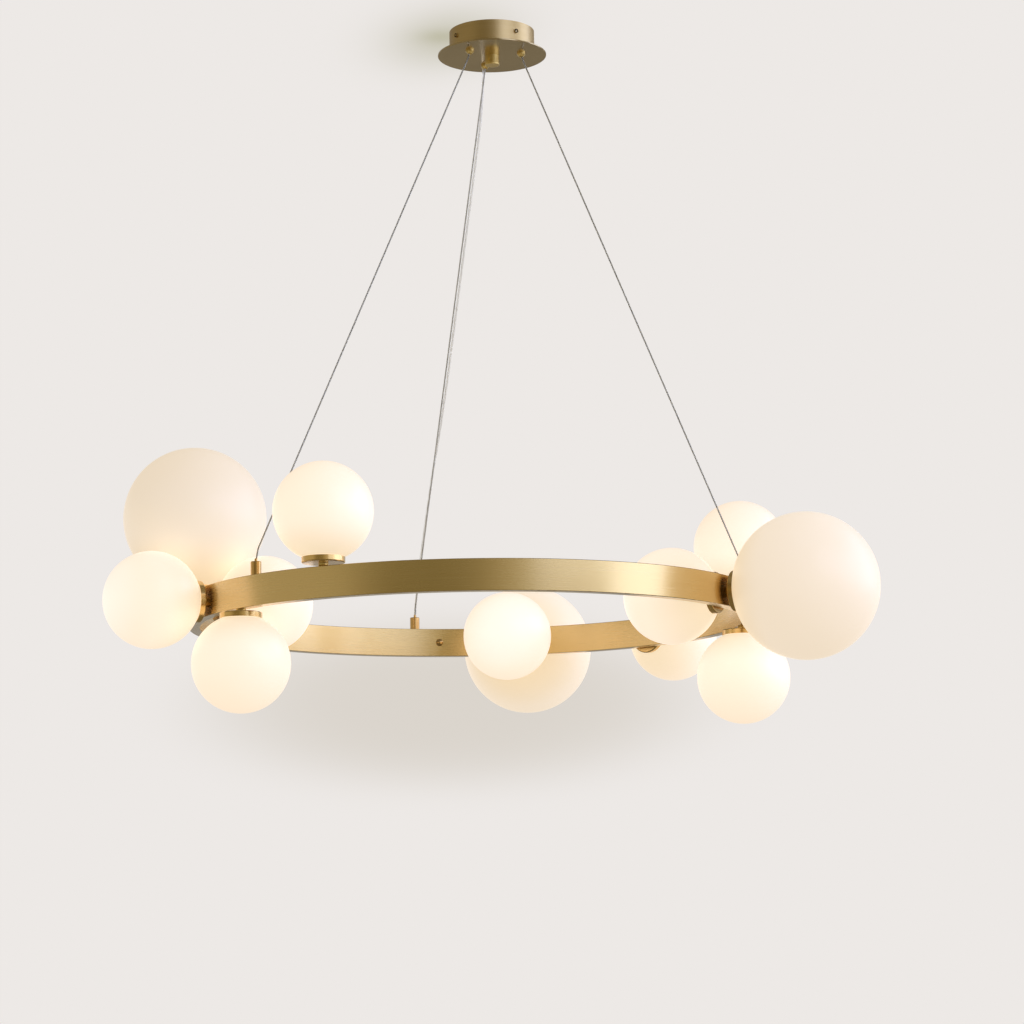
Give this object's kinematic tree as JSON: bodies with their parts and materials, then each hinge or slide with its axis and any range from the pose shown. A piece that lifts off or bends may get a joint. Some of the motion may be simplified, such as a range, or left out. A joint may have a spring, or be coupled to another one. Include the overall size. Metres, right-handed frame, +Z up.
{
  "type": "chandelier",
  "caption": "Ring chandelier: a satin brass hoop hung on steel cables from a round ceiling canopy, with opal glass globes in two sizes set above, below, inside and outside the hoop.",
  "frame": {"origin": "centre of the two ceiling screws, on the canopy's axis, in the plane of the ceiling", "axes": "+Z up, square to the ceiling; +X to the right and +Y to the back in the picture's view, which looks along +Y from below the fixture's mid-height"},
  "size_m": [0.9467, 0.9081, 0.917],
  "materials": {
    "satin_brass": "brushed along the length, satin",
    "polished_brass": "turned, half bright",
    "zinc_steel": "zinc plated",
    "spring_steel": "bright wire",
    "steel_cable": "stranded",
    "dark_steel": "blackened",
    "opal_glass_small": "opal, satin, lit from inside",
    "opal_glass_large": "opal, satin, lit from inside",
    "lamp_glass": "frosted",
    "ceramic": "glazed ceramic",
    "gasket_rubber": "matt silicone",
    "wire_insulation": "smooth",
    "clear_cord": "clear",
    "block_plastic": "moulded"
  },
  "bodies": {
    "fixture": {"ring_tube": "satin_brass", "ring_splice": "zinc_steel", "seam_screw": "satin_brass", "wiring_loom": "wire_insulation", "caps_above": "satin_brass", "caps_below": "satin_brass", "caps_outside": "satin_brass", "caps_inside": "satin_brass", "spacer_collars": "polished_brass", "nipples": "zinc_steel", "nut_plates": "zinc_steel", "gaskets": "gasket_rubber", "snap_rings": "spring_steel", "lampholders": "ceramic", "cable_grips": "polished_brass", "cable_1": "steel_cable", "cable_2": "steel_cable", "cable_3": "steel_cable", "cable_bushings": "polished_brass", "bushing_nuts": "zinc_steel", "cable_ferrules": "zinc_steel", "power_cord": "clear_cord", "cord_bushing": "polished_brass", "ceiling_plate": "zinc_steel", "canopy_drum": "satin_brass", "canopy_plate": "satin_brass", "centre_stud": "zinc_steel", "cap_nut": "polished_brass", "side_screws": "dark_steel", "terminal_block": "block_plastic"},
    "globe_01": {"globe_01": "opal_glass_large"},
    "lamp_01": {"lamp_01": "lamp_glass"},
    "globe_02": {"globe_02": "opal_glass_small"},
    "lamp_02": {"lamp_02": "lamp_glass"},
    "globe_03": {"globe_03": "opal_glass_small"},
    "lamp_03": {"lamp_03": "lamp_glass"},
    "globe_04": {"globe_04": "opal_glass_small"},
    "lamp_04": {"lamp_04": "lamp_glass"},
    "globe_05": {"globe_05": "opal_glass_small"},
    "lamp_05": {"lamp_05": "lamp_glass"},
    "globe_06": {"globe_06": "opal_glass_small"},
    "lamp_06": {"lamp_06": "lamp_glass"},
    "globe_07": {"globe_07": "opal_glass_large"},
    "lamp_07": {"lamp_07": "lamp_glass"},
    "globe_08": {"globe_08": "opal_glass_small"},
    "lamp_08": {"lamp_08": "lamp_glass"},
    "globe_09": {"globe_09": "opal_glass_small"},
    "lamp_09": {"lamp_09": "lamp_glass"},
    "globe_10": {"globe_10": "opal_glass_small"},
    "lamp_10": {"lamp_10": "lamp_glass"},
    "globe_11": {"globe_11": "opal_glass_small"},
    "lamp_11": {"lamp_11": "lamp_glass"},
    "globe_12": {"globe_12": "opal_glass_large"},
    "lamp_12": {"lamp_12": "lamp_glass"}
  },
  "joints": [
    {"name": "globe_01_lift_off", "type": "slide", "parent": "fixture", "child": "globe_01", "axis": [0, 0, 1], "range_m": [0, 0.075]},
    {"name": "globe_02_lift_off", "type": "slide", "parent": "fixture", "child": "globe_02", "axis": [-0.9171, -0.3987, 0], "range_m": [0, 0.075]},
    {"name": "globe_03_lift_off", "type": "slide", "parent": "fixture", "child": "globe_03", "axis": [0, 0, 1], "range_m": [0, 0.075]},
    {"name": "globe_04_lift_off", "type": "slide", "parent": "fixture", "child": "globe_04", "axis": [0, 0, -1], "range_m": [0, 0.075]},
    {"name": "globe_05_lift_off", "type": "slide", "parent": "fixture", "child": "globe_05", "axis": [0.9171, 0.3987, 0], "range_m": [0, 0.075]},
    {"name": "globe_06_lift_off", "type": "slide", "parent": "fixture", "child": "globe_06", "axis": [-0.1736, -0.9848, 0], "range_m": [0, 0.075]},
    {"name": "globe_07_lift_off", "type": "slide", "parent": "fixture", "child": "globe_07", "axis": [0.1736, 0.9848, 0], "range_m": [0, 0.075]},
    {"name": "globe_08_lift_off", "type": "slide", "parent": "fixture", "child": "globe_08", "axis": [-0.887, 0.4617, 0], "range_m": [0, 0.075]},
    {"name": "globe_09_lift_off", "type": "slide", "parent": "fixture", "child": "globe_09", "axis": [0, 0, 1], "range_m": [0, 0.075]},
    {"name": "globe_10_lift_off", "type": "slide", "parent": "fixture", "child": "globe_10", "axis": [0.6561, 0.7547, 0], "range_m": [0, 0.075]},
    {"name": "globe_11_lift_off", "type": "slide", "parent": "fixture", "child": "globe_11", "axis": [0, 0, -1], "range_m": [0, 0.075]},
    {"name": "globe_12_lift_off", "type": "slide", "parent": "fixture", "child": "globe_12", "axis": [0.887, -0.4617, 0], "range_m": [0, 0.075]},
    {"name": "lamp_01_pull_out", "type": "slide", "parent": "fixture", "child": "lamp_01", "axis": [0, 0, 1], "range_m": [0, 0.012]},
    {"name": "lamp_02_pull_out", "type": "slide", "parent": "fixture", "child": "lamp_02", "axis": [-0.9171, -0.3987, 0], "range_m": [0, 0.012]},
    {"name": "lamp_03_pull_out", "type": "slide", "parent": "fixture", "child": "lamp_03", "axis": [0, 0, 1], "range_m": [0, 0.012]},
    {"name": "lamp_04_pull_out", "type": "slide", "parent": "fixture", "child": "lamp_04", "axis": [0, 0, -1], "range_m": [0, 0.012]},
    {"name": "lamp_05_pull_out", "type": "slide", "parent": "fixture", "child": "lamp_05", "axis": [0.9171, 0.3987, 0], "range_m": [0, 0.012]},
    {"name": "lamp_06_pull_out", "type": "slide", "parent": "fixture", "child": "lamp_06", "axis": [-0.1736, -0.9848, 0], "range_m": [0, 0.012]},
    {"name": "lamp_07_pull_out", "type": "slide", "parent": "fixture", "child": "lamp_07", "axis": [0.1736, 0.9848, 0], "range_m": [0, 0.012]},
    {"name": "lamp_08_pull_out", "type": "slide", "parent": "fixture", "child": "lamp_08", "axis": [-0.887, 0.4617, 0], "range_m": [0, 0.012]},
    {"name": "lamp_09_pull_out", "type": "slide", "parent": "fixture", "child": "lamp_09", "axis": [0, 0, 1], "range_m": [0, 0.012]},
    {"name": "lamp_10_pull_out", "type": "slide", "parent": "fixture", "child": "lamp_10", "axis": [0.6561, 0.7547, 0], "range_m": [0, 0.012]},
    {"name": "lamp_11_pull_out", "type": "slide", "parent": "fixture", "child": "lamp_11", "axis": [0, 0, -1], "range_m": [0, 0.012]},
    {"name": "lamp_12_pull_out", "type": "slide", "parent": "fixture", "child": "lamp_12", "axis": [0.887, -0.4617, 0], "range_m": [0, 0.012]}
  ]
}
